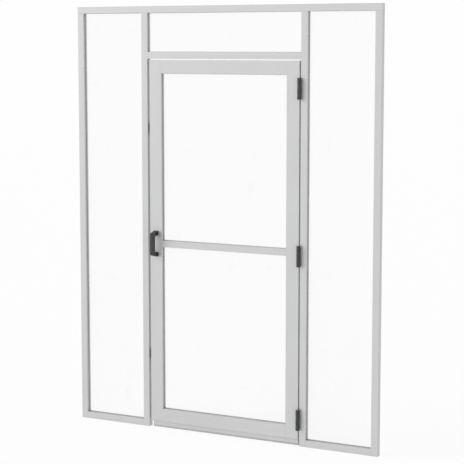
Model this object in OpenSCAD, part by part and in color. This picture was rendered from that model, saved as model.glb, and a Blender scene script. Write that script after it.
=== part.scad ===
// Hinged door for closing the end of an equipment aisle, with its glazed frame.
// X runs along the face, Y away from the viewer, Z up from the floor.
// The origin lies on the floor, midway between the jambs and at mid-depth of the frame.

/* [Frame] */
// Clear width of each sidelight
sidelight_w = 378.5; // [200:0.5:600]
// Clear height of the transom light
transom_h = 216; // [120:1:500]
// Depth of the frame profiles, front to back
frame_d = 36; // [34:1:44]
// Face width of every frame profile
frame_face = 38; // [36:1:48]
// Wall of the frame profiles
frame_wall = 2; // [1.6:0.1:2.4]
// Radius along the long outside edges of every profile
edge_r = 1.2; // [0.8:0.1:1.5]

/* [Doorway] */
// Clear width between the two jambs
doorway_w = 936; // [800:1:1100]
// Height of the underside of the header
doorway_h = 2108; // [2000:1:2180]
// Gap between the latch jamb and the leaf
latch_gap = 13; // [8:0.5:16]
// Gap between the leaf and the hinge jamb, which both hinge plates share
hinge_gap = 8; // [7:0.5:9]
// Gap between the header and the leaf
head_gap = 7; // [5:1:16]

/* [Door leaf] */
// Height of the underside of the leaf above the floor
leaf_lift = 38; // [32:1:50]
// Wall of the leaf profiles
leaf_wall = 2.2; // [1.8:0.1:2.6]
// Face width of the leaf's stiles
leaf_stile_face = 75; // [60:1:100]
// Face width of the leaf's top and bottom rails
leaf_rail_face = 75; // [60:1:100]
// Height of the hollow core of the mid-rail, between its two grooves
mid_core = 9.6; // [8:0.1:20]
// Height of the middle of the mid-rail
mid_rail_z = 1067; // [900:1:1200]

/* [Glazing] */
// Thickness of the clear panels
panel_t = 5; // [4:0.5:6]
// Gasket on each side of a panel
gasket_side = 2; // [1:0.1:3]
// Gasket under the edge of a panel
gasket_base = 2; // [1:0.1:3]
// How far a panel's edge enters its groove
panel_bite = 8; // [6:0.5:10]
// Room left under a gasket for a panel to grow when warm
growth_gap = 2; // [1:0.5:3]

/* [Corner joints] */
// Length of the joint blocks inside the rail ends
block_l = 30; // [24:1:40]
// Thickness of a block under its screw heads
block_web = 8; // [6:1:12]
// Radius of the joint screws
joint_screw_r = 2.1; // [1.8:0.1:2.2]
// How far a joint screw reaches past the wall it grips
joint_screw_past = 4; // [2:0.5:6]
// Clearance of the blocks, plugs and spigots in their chambers
plug_fit = 0.1; // [0.05:0.05:0.2]
// Clearance around a screw in its hole
screw_fit = 0.05; // [0.02:0.01:0.1]

/* [Feet and ends] */
// Length of the plugs in the feet of the uprights
foot_plug_l = 40; // [30:1:60]
// Radius of the tapped anchor hole in a foot plug
anchor_r = 3.4; // [2.5:0.1:4.2]
// Depth of the tapped anchor hole
anchor_deep = 30; // [20:1:30]
// Plate of the top rail's end caps
rail_cap_t = 1.5; // [1:0.1:3]
// Plate of the end caps on the leaf's stiles
stile_cap_t = 2; // [1:0.1:3]
// Length of the end caps' spigots
spigot_l = 14; // [8:1:20]

/* [Hinges] */
// Height of a hinge
hinge_h = 115; // [105:1:130]
// Radius of the hinge barrels
barrel_r = 11; // [9.5:0.1:13]
// Wall of a leaf knuckle round its spring
barrel_wall = 2; // [1.5:0.1:2.5]
// Radius of a hinge pin
pin_r = 4.5; // [4:0.1:5]
// Radial clearance between a pin and its bushes
pin_fit = 0.05; // [0.03:0.01:0.08]
// Clearance between the barrels and the face of the frame
barrel_clear = 2; // [1.5:0.1:4]
// Height of each of the two jamb knuckles
knuckle_h = 24; // [20:1:28]
// Height of the tension collar at the top of a hinge
collar_h = 8; // [6:1:10]
// Radius of the tommy bar holes in a collar
collar_hole_r = 1.5; // [1:0.1:2]
// Number of tommy bar holes in a collar
collar_holes = 6; // [4:1:8]
// Metal between the pin and the tommy bar holes
collar_web = 2; // [1:0.5:4]
// Thickness of the hinge plates
hinge_plate_t = 3; // [2.5:0.1:3]
// Width of the hinge plates inside the gap
hinge_plate_w = 30; // [26:1:34]
// Distance of the screw columns from the edges of a hinge plate
screw_edge = 8; // [6:0.5:10]
// Radius of the hinge screws
hinge_screw_r = 2.4; // [2:0.1:2.6]
// Length of the hinge screws
hinge_screw_l = 14; // [12:1:16]
// Screws in each hinge plate
hinge_screws_each = 4; // [2:1:4]
// Thickness of the tapped backing plates behind the hinge screws
backing_t = 5; // [4:0.5:6]
// Height of the top hinge's middle below the top of the leaf
top_hinge_drop = 148; // [100:1:250]
// Height of the bottom hinge's middle above the underside of the leaf
bottom_hinge_rise = 111; // [100:1:250]

/* [Hinge springs and bushes] */
// Radius of the spring wire
wire_r = 1.2; // [0.8:0.1:1.5]
// Least rise of the spring in one turn
coil_pitch = 4; // [3.2:0.1:8]
// Height of a bush inside its knuckle
bush_h = 8; // [6:1:10]
// Thickness of a bush's thrust flange, which spaces the knuckles
flange_t = 1.6; // [1:0.1:2]
// How far a thrust flange stays inside the outline of the barrel
flange_inset = 0.5; // [0.2:0.1:1]
// Clearance between a spring's ends and the bushes
seat_gap = 0.1; // [0.05:0.05:0.3]

/* [Pull handle] */
// Overall length of the handle
handle_l = 146; // [130:1:200]
// Width of the handle
handle_w = 27; // [22:1:32]
// Projection of the handle from the face of the leaf
handle_out = 50; // [42:1:60]
// Thickness of the grip
grip_t = 14; // [10:1:18]
// Height of the handle's feet, which hold a screw each in their middle
foot_h = 25; // [20:1:30]
// Straight part of a foot at the leaf, before its end slopes in to the grip
foot_base = 3; // [1:0.5:6]
// How much nearer to the middle each end of the grip is than the end of its foot
foot_slope = 8; // [0:1:16]
// Outside radius of the bends in the handle
bend_r = 19; // [14:1:24]
// Inside radius of the bends in the handle
inner_bend_r = 10; // [6:1:14]
// Radius that rounds the long edges of the grip
grip_edge_r = 6; // [3:0.5:8]
// Height of the handle's middle above the floor
handle_z = 1066; // [900:1:1200]
// Radius of the handle's screws
handle_screw_r = 3; // [2.5:0.1:3.5]
// How far a screw enters the handle
handle_screw_in = 14; // [10:1:18]

/* [Sweep] */
// Width of the sweep's channel
sweep_w = 14; // [12:1:18]
// Wall of the sweep's channel
sweep_wall = 2; // [1.5:0.1:2.5]
// Height of the channel's web
sweep_web = 3; // [2:0.5:4]
// Distance of the sweep from the latch edge of the leaf
latch_inset = 9; // [4:1:20]
// Distance of the sweep from the hinge edge of the leaf
hinge_inset = 1; // [0:0.5:10]
// Clearance between the blade and the floor
floor_gap = 2; // [1:0.5:4]
// Height of the blade that shows under the channel
blade_shows = 10; // [6:1:14]
// Height of the blade inside the channel
blade_held = 12; // [8:1:14]
// Thickness of the two fins that hang from the blade
fin_t = 2.4; // [1.5:0.1:4]
// Screws that hold the channel
sweep_screws_count = 5; // [3:1:8]
// Distance of the end screws from the ends of the channel
sweep_screw_inset = 112; // [60:1:150]
// Radius of the sweep's screws
sweep_screw_r = 1.75; // [1.5:0.05:2]
// Length of the sweep's screws
sweep_screw_l = 10; // [8:1:14]

/* [Door stops] */
// Height of a stop plate
stop_h = 60; // [40:1:90]
// Thickness of a stop plate
stop_t = 3; // [2:0.5:5]
// How far a stop plate lies on the jamb
stop_on_jamb = 28; // [20:1:30]
// How far a stop plate reaches behind the leaf
stop_on_leaf = 15; // [10:1:25]
// Distance of each stop's middle from the nearer end of the leaf
stop_from_end = 382; // [150:10:600]
// Thickness of the rubber buffers, which the leaf is thinner by than the frame
buffer_t = 2; // [1.5:0.5:4]
// Radius of the stop plates' corners
stop_corner_r = 4; // [2:0.5:8]
// Radius of the stop screws
stop_screw_r = 2.4; // [2:0.1:2.8]
// Length of the stop screws
stop_screw_l = 12; // [10:1:16]
// Margin between the buffer and the edges of its plate
buffer_margin = 1.5; // [1:0.5:4]

/* [Screw heads] */
// Radius of a pan head as a multiple of its shank
pan_ratio = 1.75; // [1.6:0.05:1.8]
// Height of a pan head as a multiple of its shank's radius
pan_high = 1.3; // [1:0.1:1.6]
// Radius of a pan head's dome as a multiple of the head's radius
dome_ratio = 1.25; // [1.1:0.05:2]
// Radius of a screw's hexagon socket as a multiple of its shank
socket_ratio = 0.7; // [0.5:0.05:0.8]
// Depth of the socket in a countersunk head as a share of the head
socket_share = 0.7; // [0.5:0.05:0.9]
// Depth of a countersunk head
sink_deep = 1.9; // [1.5:0.1:2.2]

/* [Hidden] */
$fn = 48;
cut = 1;

// Glazing grooves
groove_w = panel_t + 2 * gasket_side;
gasket_deep = panel_bite + gasket_base;
groove_deep = gasket_deep + growth_gap;

// Frame lines
front_y = -frame_d / 2;
jamb_in = doorway_w / 2;
jamb_out = jamb_in + frame_face;
stile_in = jamb_out + sidelight_w;
half_w = stile_in + frame_face;
header_top = doorway_h + frame_face;
upright_h = header_top + transom_h;
frame_chamber = frame_face - groove_deep - 2 * frame_wall;
frame_inner_d = frame_d - 2 * frame_wall;

// Leaf lines
leaf_d = frame_d - buffer_t;
mid_rail_face = mid_core + 2 * (groove_deep + leaf_wall);
leaf_lo = -jamb_in + latch_gap;
leaf_hi = jamb_in - hinge_gap;
leaf_top = doorway_h - head_gap;
leaf_y = front_y + leaf_d / 2;
leaf_back = front_y + leaf_d;
leaf_glass_lo = leaf_lo + leaf_stile_face;
leaf_glass_hi = leaf_hi - leaf_stile_face;
mid_lo = mid_rail_z - mid_rail_face / 2;
mid_hi = mid_rail_z + mid_rail_face / 2;
leaf_stile_chamber = leaf_stile_face - groove_deep - 2 * leaf_wall;
leaf_rail_chamber = leaf_rail_face - groove_deep - 2 * leaf_wall;
leaf_inner_d = leaf_d - 2 * leaf_wall;

// Hinge lines, measured from the foot of a hinge on its axis
hinge_x = leaf_hi + hinge_gap / 2;
hinge_y = front_y - barrel_clear - barrel_r;
plate_from = barrel_clear + barrel_r;
plate_h = hinge_h - collar_h;
bottom_hinge_z = leaf_lift + bottom_hinge_rise;
top_hinge_z = leaf_top - top_hinge_drop;
hinge_zs = [bottom_hinge_z, (bottom_hinge_z + top_hinge_z) / 2, top_hinge_z];
leaf_knuckle_z = knuckle_h + flange_t;
leaf_knuckle_h = plate_h - 2 * leaf_knuckle_z;
upper_knuckle_z = plate_h - knuckle_h;
screw_columns = [screw_edge, hinge_plate_w - screw_edge];
chamber_r = barrel_r - barrel_wall;

// Handle, sweep and stop lines
handle_x = leaf_lo + leaf_stile_face / 2;
handle_pitch = handle_l - foot_h;
sweep_h = leaf_lift - floor_gap - blade_shows;
sweep_lo = leaf_lo + latch_inset;
sweep_l = leaf_hi - leaf_lo - latch_inset - hinge_inset;
blade_t = sweep_w - 2 * sweep_wall;
sweep_z = leaf_lift - sweep_h;
stop_zs = [leaf_lift + stop_from_end, leaf_top - stop_from_end];

// Colours as the object shows them
ANODISED = [0.80, 0.81, 0.82];
RAW = [0.68, 0.69, 0.71];
CLEAR = [0.93, 0.95, 0.96, 0.3];
GREY_SEAL = [0.62, 0.62, 0.63];
GREY_CAP = [0.74, 0.74, 0.75];
BLACK = [0.13, 0.13, 0.14];
STEEL = [0.55, 0.56, 0.58];

// Shared shapes

module round_rect(w, d, r) {
    translate([r, 0]) square([w - 2 * r, d]);
    translate([0, r]) square([w, d - 2 * r]);
    for (x = [r, w - r], y = [r, d - r]) translate([x, y]) circle(r);
}

// Maps local Z to X, local X to Z and turns Y over
module along_x() {
    rotate(180, [1, 0, 1]) children();
}

module mirror_pair() {
    children();
    mirror([1, 0, 0]) children();
}

// Section of a hollow profile, from 0 to face, with a groove at the low or high side
module profile_section(face, depth, wall, groove_lo, groove_hi) {
    difference() {
        translate([0, -depth / 2]) round_rect(face, depth, edge_r);
        difference() {
            translate([wall, wall - depth / 2]) square([face - 2 * wall, depth - 2 * wall]);
            if (groove_lo) groove_section(0, wall);
            if (groove_hi) groove_section(face - groove_deep - wall, wall);
        }
        if (groove_lo) translate([-cut, -groove_w / 2]) square([groove_deep + cut, groove_w]);
        if (groove_hi) translate([face - groove_deep, -groove_w / 2])
            square([groove_deep + cut, groove_w]);
    }
}

module groove_section(u, wall) {
    translate([u, -groove_w / 2 - wall]) square([groove_deep + wall, groove_w + 2 * wall]);
}

module frame_section(groove_lo, groove_hi) {
    profile_section(frame_face, frame_d, frame_wall, groove_lo, groove_hi);
}

module leaf_section(face, groove_lo, groove_hi) {
    profile_section(face, leaf_d, leaf_wall, groove_lo, groove_hi);
}

// A screw points down from the origin, with its head above it
module pan_screw(r, l) {
    head_r = r * pan_ratio;
    head_h = r * pan_high;
    dome_r = head_r * dome_ratio;
    difference() {
        union() {
            translate([0, 0, -l]) cylinder(r = r, h = l);
            intersection() {
                cylinder(r = head_r, h = head_h);
                translate([0, 0, head_h - dome_r]) sphere(r = dome_r);
            }
        }
        translate([0, 0, head_h / 2]) cylinder(r = r * socket_ratio, h = head_h, $fn = 6);
    }
}

// A countersunk screw points down, with its head flush at the origin
module flat_screw(r, l) {
    difference() {
        union() {
            translate([0, 0, -l]) cylinder(r = r, h = l);
            translate([0, 0, -sink_deep]) cylinder(r1 = r, r2 = r * pan_ratio, h = sink_deep);
        }
        translate([0, 0, -sink_deep * socket_share])
            cylinder(r = r * socket_ratio, h = sink_deep, $fn = 6);
    }
}

// The hole that a countersunk screw sits in
module sunk_hole(r, l) {
    translate([0, 0, -l]) cylinder(r = r + screw_fit, h = l + cut);
    translate([0, 0, -sink_deep])
        cylinder(r1 = r + screw_fit, r2 = r * pan_ratio + screw_fit, h = sink_deep);
    cylinder(r = r * pan_ratio + screw_fit, h = cut);
}

// Corner joints: a block in the hollow end of a rail, screwed to the wall it butts on

// The screws pass midway between the groove and the outside of a profile of depth d
module block_screw_places(w, d, rows) {
    for (i = [0:rows - 1], side = [-1, 1])
        translate([w * ((i + 0.5) / rows - 0.5), side * (groove_w + d) / 4, 0]) children();
}

// Local Z points from the wall into the rail, local X across its face
module joint_block(w, d, wall, rows) {
    head_r = joint_screw_r * pan_ratio;
    inset = wall + plug_fit;
    difference() {
        translate([plug_fit - w / 2, inset - d / 2, 0])
            cube([w - 2 * plug_fit, d - 2 * inset, block_l]);
        block_screw_places(w, d, rows) {
            translate([0, 0, -cut]) cylinder(r = joint_screw_r + screw_fit, h = block_l);
            translate([0, 0, block_web]) cylinder(r = head_r + screw_fit, h = block_l);
        }
    }
}

module joint_screws(w, d, wall, rows) {
    block_screw_places(w, d, rows) translate([0, 0, block_web])
        pan_screw(joint_screw_r, block_web + wall + joint_screw_past);
}

// Holes in the wall that the block butts on
module joint_holes(w, d, wall, rows) {
    block_screw_places(w, d, rows) translate([0, 0, -wall - cut])
        cylinder(r = joint_screw_r + screw_fit, h = wall + 2 * cut);
}

module frame_joint_block() {
    joint_block(frame_chamber, frame_d, frame_wall, 1);
}

module frame_joint_screw_pair() {
    joint_screws(frame_chamber, frame_d, frame_wall, 1);
}

module frame_joint_hole_pair() {
    joint_holes(frame_chamber, frame_d, frame_wall, 1);
}

// Places of the frame's joints, each with local Z pointing into the rail or upright
module at_low_rail(x, toward) {
    translate([x, 0, frame_wall + frame_chamber / 2]) rotate([0, 90 * toward, 0]) children();
}

module at_header(side) {
    translate([side * jamb_in, 0, doorway_h + frame_wall + frame_chamber / 2])
        rotate([0, -90 * side, 0]) children();
}

// inner is the upright's groove side: 1 towards +X, -1 towards -X
module at_upright_top(x, inner) {
    centre = inner > 0 ? frame_wall + frame_chamber / 2
        : frame_face - frame_wall - frame_chamber / 2;
    translate([x + centre, 0, upright_h]) rotate([180, 0, 0]) children();
}

module at_foot(x, inner) {
    centre = inner > 0 ? frame_wall + frame_chamber / 2
        : frame_face - frame_wall - frame_chamber / 2;
    translate([x + centre, 0, 0]) children();
}

// Space that the glazing takes in a jamb beside the transom
module transom_slot() {
    translate([-jamb_in - gasket_deep, -groove_w / 2, header_top - gasket_deep])
        cube([gasket_deep + cut, groove_w, upright_h - header_top + gasket_deep + cut]);
}

// Frame profiles

module left_stile() {
    color(ANODISED) difference() {
        translate([-half_w, 0, 0]) linear_extrude(upright_h) frame_section(false, true);
        at_low_rail(-stile_in, 1) frame_joint_hole_pair();
    }
}

module right_stile() {
    color(ANODISED) difference() {
        translate([stile_in, 0, 0]) linear_extrude(upright_h) frame_section(true, false);
        at_low_rail(stile_in, -1) frame_joint_hole_pair();
    }
}

// The latch jamb as seen on the left; the hinge jamb is its mirror image
module plain_jamb() {
    difference() {
        translate([-jamb_out, 0, 0]) linear_extrude(upright_h) frame_section(true, false);
        at_low_rail(-jamb_out, -1) frame_joint_hole_pair();
        at_header(-1) frame_joint_hole_pair();
        transom_slot();
    }
}

module left_jamb() {
    color(ANODISED) difference() {
        plain_jamb();
        for (z = stop_zs) stop_screw_places(z) translate([0, 0, -stop_t - frame_wall - cut])
            cylinder(r = stop_screw_r + screw_fit, h = stop_t + frame_wall + 2 * cut);
    }
}

module right_jamb() {
    color(ANODISED) difference() {
        mirror([1, 0, 0]) plain_jamb();
        at_hinges() hinge_screw_places() rotate([0, -90, 0])
            translate([0, 0, -hinge_plate_t - frame_wall - cut])
            cylinder(r = hinge_screw_r + screw_fit, h = frame_wall + 2 * cut);
    }
}

module top_rail() {
    color(ANODISED) difference() {
        translate([rail_cap_t - half_w, 0, upright_h]) along_x()
            linear_extrude(2 * (half_w - rail_cap_t)) frame_section(true, false);
        mirror_pair() {
            at_upright_top(-half_w, 1) frame_joint_hole_pair();
            at_upright_top(-jamb_out, -1) frame_joint_hole_pair();
        }
    }
}

module header_rail() {
    color(ANODISED) translate([-jamb_in, 0, doorway_h]) along_x()
        linear_extrude(doorway_w) frame_section(false, true);
}

module left_bottom_rail() {
    color(ANODISED) translate([-stile_in, 0, 0]) along_x()
        linear_extrude(stile_in - jamb_out) frame_section(false, true);
}

module right_bottom_rail() {
    color(ANODISED) translate([jamb_out, 0, 0]) along_x()
        linear_extrude(stile_in - jamb_out) frame_section(false, true);
}

// Glazing: a clear sheet and the gasket around its edge, for an opening of given corners

module sheet(x0, x1, z0, z1, y) {
    translate([x0 - panel_bite, y - panel_t / 2, z0 - panel_bite])
        cube([x1 - x0 + 2 * panel_bite, panel_t, z1 - z0 + 2 * panel_bite]);
}

module sheet_gasket(x0, x1, z0, z1, y) {
    difference() {
        translate([x0 - gasket_deep, y - groove_w / 2, z0 - gasket_deep])
            cube([x1 - x0 + 2 * gasket_deep, groove_w, z1 - z0 + 2 * gasket_deep]);
        sheet(x0, x1, z0, z1, y);
        translate([x0, y - groove_w / 2 - cut, z0])
            cube([x1 - x0, groove_w + 2 * cut, z1 - z0]);
    }
}

module left_sidelight_panel() {
    color(CLEAR) sheet(-stile_in, -jamb_out, frame_face, upright_h, 0);
}

module right_sidelight_panel() {
    color(CLEAR) sheet(jamb_out, stile_in, frame_face, upright_h, 0);
}

module transom_panel() {
    color(CLEAR) sheet(-jamb_in, jamb_in, header_top, upright_h, 0);
}

module left_sidelight_gasket() {
    color(GREY_SEAL) sheet_gasket(-stile_in, -jamb_out, frame_face, upright_h, 0);
}

module right_sidelight_gasket() {
    color(GREY_SEAL) sheet_gasket(jamb_out, stile_in, frame_face, upright_h, 0);
}

module transom_gasket() {
    color(GREY_SEAL) sheet_gasket(-jamb_in, jamb_in, header_top, upright_h, 0);
}

module door_upper_panel() {
    color(CLEAR)
        sheet(leaf_glass_lo, leaf_glass_hi, mid_hi, leaf_top - leaf_rail_face, leaf_y);
}

module door_lower_panel() {
    color(CLEAR)
        sheet(leaf_glass_lo, leaf_glass_hi, leaf_lift + leaf_rail_face, mid_lo, leaf_y);
}

module door_upper_gasket() {
    color(GREY_SEAL)
        sheet_gasket(leaf_glass_lo, leaf_glass_hi, mid_hi, leaf_top - leaf_rail_face, leaf_y);
}

module door_lower_gasket() {
    color(GREY_SEAL)
        sheet_gasket(leaf_glass_lo, leaf_glass_hi, leaf_lift + leaf_rail_face, mid_lo, leaf_y);
}

// Frame joints, feet and ends

module frame_joint_blocks() {
    color(RAW) mirror_pair() {
        at_low_rail(-stile_in, 1) frame_joint_block();
        at_low_rail(-jamb_out, -1) frame_joint_block();
        at_header(-1) frame_joint_block();
        at_upright_top(-half_w, 1) frame_joint_block();
        difference() {
            at_upright_top(-jamb_out, -1) frame_joint_block();
            transom_slot();
        }
    }
}

module frame_joint_screws() {
    color(STEEL) mirror_pair() {
        at_low_rail(-stile_in, 1) frame_joint_screw_pair();
        at_low_rail(-jamb_out, -1) frame_joint_screw_pair();
        at_header(-1) frame_joint_screw_pair();
        at_upright_top(-half_w, 1) frame_joint_screw_pair();
        at_upright_top(-jamb_out, -1) frame_joint_screw_pair();
    }
}

module foot_plug() {
    difference() {
        translate([plug_fit - frame_chamber / 2, plug_fit - frame_inner_d / 2, 0])
            cube([frame_chamber - 2 * plug_fit, frame_inner_d - 2 * plug_fit, foot_plug_l]);
        translate([0, 0, -cut]) cylinder(r = anchor_r, h = anchor_deep + cut);
    }
}

module foot_plugs() {
    color(BLACK) mirror_pair() {
        at_foot(-half_w, 1) foot_plug();
        at_foot(-jamb_out, -1) foot_plug();
    }
}

module top_rail_caps() {
    spigot_lo = groove_deep + frame_wall + plug_fit;
    color(ANODISED) mirror_pair() translate([-half_w, 0, upright_h]) along_x() {
        linear_extrude(rail_cap_t) translate([0, -frame_d / 2])
            round_rect(frame_face, frame_d, edge_r);
        linear_extrude(rail_cap_t + spigot_l)
            translate([spigot_lo, plug_fit - frame_inner_d / 2])
            square([frame_chamber - 2 * plug_fit, frame_inner_d - 2 * plug_fit]);
    }
}

// Hinges: local Z runs up the pin, the jamb lies towards +X and the doorway towards -X

module at_hinges() {
    for (z = hinge_zs) translate([hinge_x, hinge_y, z - hinge_h / 2]) children();
}

// Screw places on the middle plane of the gap, staggered in two columns
module hinge_screw_places() {
    for (i = [0:hinge_screws_each - 1])
        translate([hinge_gap / 2 - hinge_plate_t, plate_from + screw_columns[i % 2],
            plate_h * (i + 0.5) / hinge_screws_each]) children();
}

module plate_with_tongues(knuckles) {
    translate([hinge_gap / 2 - hinge_plate_t, plate_from, 0])
        cube([hinge_plate_t, hinge_plate_w, plate_h]);
    for (k = knuckles) translate([0, 0, k[0]]) {
        cylinder(r = barrel_r, h = k[1]);
        translate([hinge_gap / 2 - hinge_plate_t, 0, 0])
            cube([hinge_plate_t, plate_from + cut, k[1]]);
    }
}

module jamb_hinge_leaves() {
    color(BLACK) at_hinges() difference() {
        plate_with_tongues([[0, knuckle_h], [upper_knuckle_z, knuckle_h]]);
        translate([0, 0, -cut]) cylinder(r = pin_r + screw_fit, h = hinge_h);
        hinge_screw_places() rotate([0, -90, 0]) sunk_hole(hinge_screw_r, hinge_screw_l);
    }
}

module door_hinge_leaves() {
    color(BLACK) at_hinges() mirror([1, 0, 0]) difference() {
        plate_with_tongues([[leaf_knuckle_z, leaf_knuckle_h]]);
        translate([0, 0, -cut]) cylinder(r = chamber_r, h = hinge_h);
        hinge_screw_places() rotate([0, -90, 0]) sunk_hole(hinge_screw_r, hinge_screw_l);
    }
}

module jamb_hinge_screws() {
    color(STEEL) at_hinges() hinge_screw_places() rotate([0, -90, 0])
        flat_screw(hinge_screw_r, hinge_screw_l);
}

module door_hinge_screws() {
    color(STEEL) at_hinges() mirror([1, 0, 0]) hinge_screw_places() rotate([0, -90, 0])
        flat_screw(hinge_screw_r, hinge_screw_l);
}

// Tapped plate inside a hollow profile of depth d, behind the wall that carries the hinge
module backing_plate(d, wall) {
    inset = wall + plug_fit;
    difference() {
        translate([hinge_gap / 2 + wall, plate_from + inset, 0])
            cube([backing_t, d - 2 * inset, plate_h]);
        hinge_screw_places() rotate([0, 90, 0])
            cylinder(r = hinge_screw_r + screw_fit, h = hinge_screw_l);
    }
}

module jamb_backing_plates() {
    color(STEEL) at_hinges() backing_plate(frame_d, frame_wall);
}

module door_backing_plates() {
    color(STEEL) at_hinges() mirror([1, 0, 0]) backing_plate(leaf_d, leaf_wall);
}

module hinge_pins() {
    color(STEEL) at_hinges() cylinder(r = pin_r, h = hinge_h);
}

// Flanged bush in the mouth of the leaf knuckle
module hinge_bush() {
    difference() {
        union() {
            cylinder(r = chamber_r - pin_fit, h = flange_t + bush_h);
            cylinder(r = barrel_r - flange_inset, h = flange_t);
        }
        translate([0, 0, -cut]) cylinder(r = pin_r + pin_fit, h = flange_t + bush_h + 2 * cut);
    }
}

module hinge_bushes() {
    color(BLACK) at_hinges() {
        translate([0, 0, knuckle_h]) hinge_bush();
        translate([0, 0, upper_knuckle_z]) mirror([0, 0, 1]) hinge_bush();
    }
}

module hinge_collars() {
    color(BLACK) at_hinges() translate([0, 0, plate_h]) difference() {
        cylinder(r = barrel_r, h = collar_h);
        translate([0, 0, -cut]) cylinder(r = pin_r + screw_fit, h = collar_h + 2 * cut);
        for (i = [0:collar_holes - 1]) rotate([0, 0, i * 360 / collar_holes])
            translate([pin_r + collar_web, 0, collar_h / 2]) rotate([0, 90, 0])
            cylinder(r = collar_hole_r, h = barrel_r, $fn = 16);
    }
}

// Torsion spring between the two bushes, swept as rings of points round a helix
COIL_STEPS = 12;
WIRE_SIDES = 6;
spring_lo = leaf_knuckle_z + bush_h + seat_gap + wire_r;
spring_rise = leaf_knuckle_h - 2 * (bush_h + seat_gap + wire_r);
coil_r = (pin_r + chamber_r) / 2;
coil_turns = floor(spring_rise / coil_pitch);

function coil_ring(i, n) = [
    for (j = [0:WIRE_SIDES - 1])
        let (a = i * 360 / COIL_STEPS, b = j * 360 / WIRE_SIDES + 90,
            r = coil_r + wire_r * cos(b))
        [r * cos(a), r * sin(a), spring_lo + spring_rise * i / n + wire_r * sin(b)]
];

function ring_walls(i) = [
    for (j = [0:WIRE_SIDES - 1])
        let (k = (j + 1) % WIRE_SIDES, a = i * WIRE_SIDES, b = a + WIRE_SIDES)
        each [[a + j, a + k, b + k], [a + j, b + k, b + j]]
];

module torsion_spring() {
    n = coil_turns * COIL_STEPS;
    polyhedron(
        points = [for (i = [0:n]) each coil_ring(i, n)],
        faces = concat(
            [[for (j = [WIRE_SIDES - 1:-1:0]) j]],
            [for (i = [0:n - 1]) each ring_walls(i)],
            [[for (j = [0:WIRE_SIDES - 1]) n * WIRE_SIDES + j]]
        ),
        convexity = 10
    );
}

module hinge_springs() {
    color(STEEL) at_hinges() torsion_spring();
}

// Door stops on the back of the latch jamb

module stop_screw_places(z) {
    for (side = [-1, 1])
        translate([-jamb_in - frame_wall - frame_chamber / 2, -front_y + stop_t,
            z + side * stop_h / 4]) rotate([-90, 0, 0]) children();
}

module stop_plates() {
    color(ANODISED) for (z = stop_zs) difference() {
        translate([-jamb_in - stop_on_jamb, -front_y + stop_t, z - stop_h / 2])
            rotate([90, 0, 0]) linear_extrude(stop_t)
            round_rect(stop_on_jamb + latch_gap + stop_on_leaf, stop_h, stop_corner_r);
        stop_screw_places(z) sunk_hole(stop_screw_r, stop_screw_l);
    }
}

module stop_buffers() {
    color(BLACK) for (z = stop_zs)
        translate([leaf_lo + buffer_margin, leaf_back, z - stop_h / 2 + stop_corner_r])
        cube([stop_on_leaf - 2 * buffer_margin, buffer_t, stop_h - 2 * stop_corner_r]);
}

module stop_screws() {
    color(STEEL) for (z = stop_zs) stop_screw_places(z) flat_screw(stop_screw_r, stop_screw_l);
}

// Leaf profiles

module leaf_stile_bar(x, groove_lo) {
    translate([x, leaf_y, leaf_lift + stile_cap_t])
        linear_extrude(leaf_top - leaf_lift - 2 * stile_cap_t)
        leaf_section(leaf_stile_face, groove_lo, !groove_lo);
}

// Height of the chamber middle of each leaf rail, with its chamber and rows of screws
leaf_rail_joints = [
    [leaf_lift + leaf_wall + leaf_rail_chamber / 2, leaf_rail_chamber, 2],
    [mid_rail_z, mid_core, 1],
    [leaf_top - leaf_wall - leaf_rail_chamber / 2, leaf_rail_chamber, 2]
];

module at_leaf_joint(x, toward, z) {
    translate([x, leaf_y, z]) rotate([0, 90 * toward, 0]) children();
}

module lock_stile() {
    color(ANODISED) difference() {
        leaf_stile_bar(leaf_lo, false);
        for (j = leaf_rail_joints)
            at_leaf_joint(leaf_glass_lo, 1, j[0]) joint_holes(j[1], leaf_d, leaf_wall, j[2]);
        for (side = [-1, 1])
            translate([handle_x, front_y - cut, handle_z + side * handle_pitch / 2])
            rotate([-90, 0, 0])
            cylinder(r = handle_screw_r + screw_fit, h = leaf_d + 2 * cut);
    }
}

module hinge_stile() {
    color(ANODISED) difference() {
        leaf_stile_bar(leaf_glass_hi, true);
        for (j = leaf_rail_joints)
            at_leaf_joint(leaf_glass_hi, -1, j[0]) joint_holes(j[1], leaf_d, leaf_wall, j[2]);
        at_hinges() mirror([1, 0, 0]) hinge_screw_places() rotate([0, -90, 0])
            translate([0, 0, -hinge_plate_t - leaf_wall - cut])
            cylinder(r = hinge_screw_r + screw_fit, h = leaf_wall + 2 * cut);
    }
}

module leaf_rail(z, face, groove_lo, groove_hi) {
    translate([leaf_glass_lo, leaf_y, z]) along_x()
        linear_extrude(leaf_glass_hi - leaf_glass_lo) leaf_section(face, groove_lo, groove_hi);
}

module door_top_rail() {
    color(ANODISED) leaf_rail(leaf_top - leaf_rail_face, leaf_rail_face, true, false);
}

module door_mid_rail() {
    color(ANODISED) leaf_rail(mid_lo, mid_rail_face, true, true);
}

module door_bottom_rail() {
    color(ANODISED) difference() {
        leaf_rail(leaf_lift, leaf_rail_face, false, true);
        sweep_screw_places() translate([0, 0, -cut])
            cylinder(r = sweep_screw_r + screw_fit, h = leaf_wall + 2 * cut);
    }
}

module door_joint_blocks() {
    color(RAW) for (j = leaf_rail_joints) {
        at_leaf_joint(leaf_glass_lo, 1, j[0]) joint_block(j[1], leaf_d, leaf_wall, j[2]);
        at_leaf_joint(leaf_glass_hi, -1, j[0]) joint_block(j[1], leaf_d, leaf_wall, j[2]);
    }
}

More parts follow.
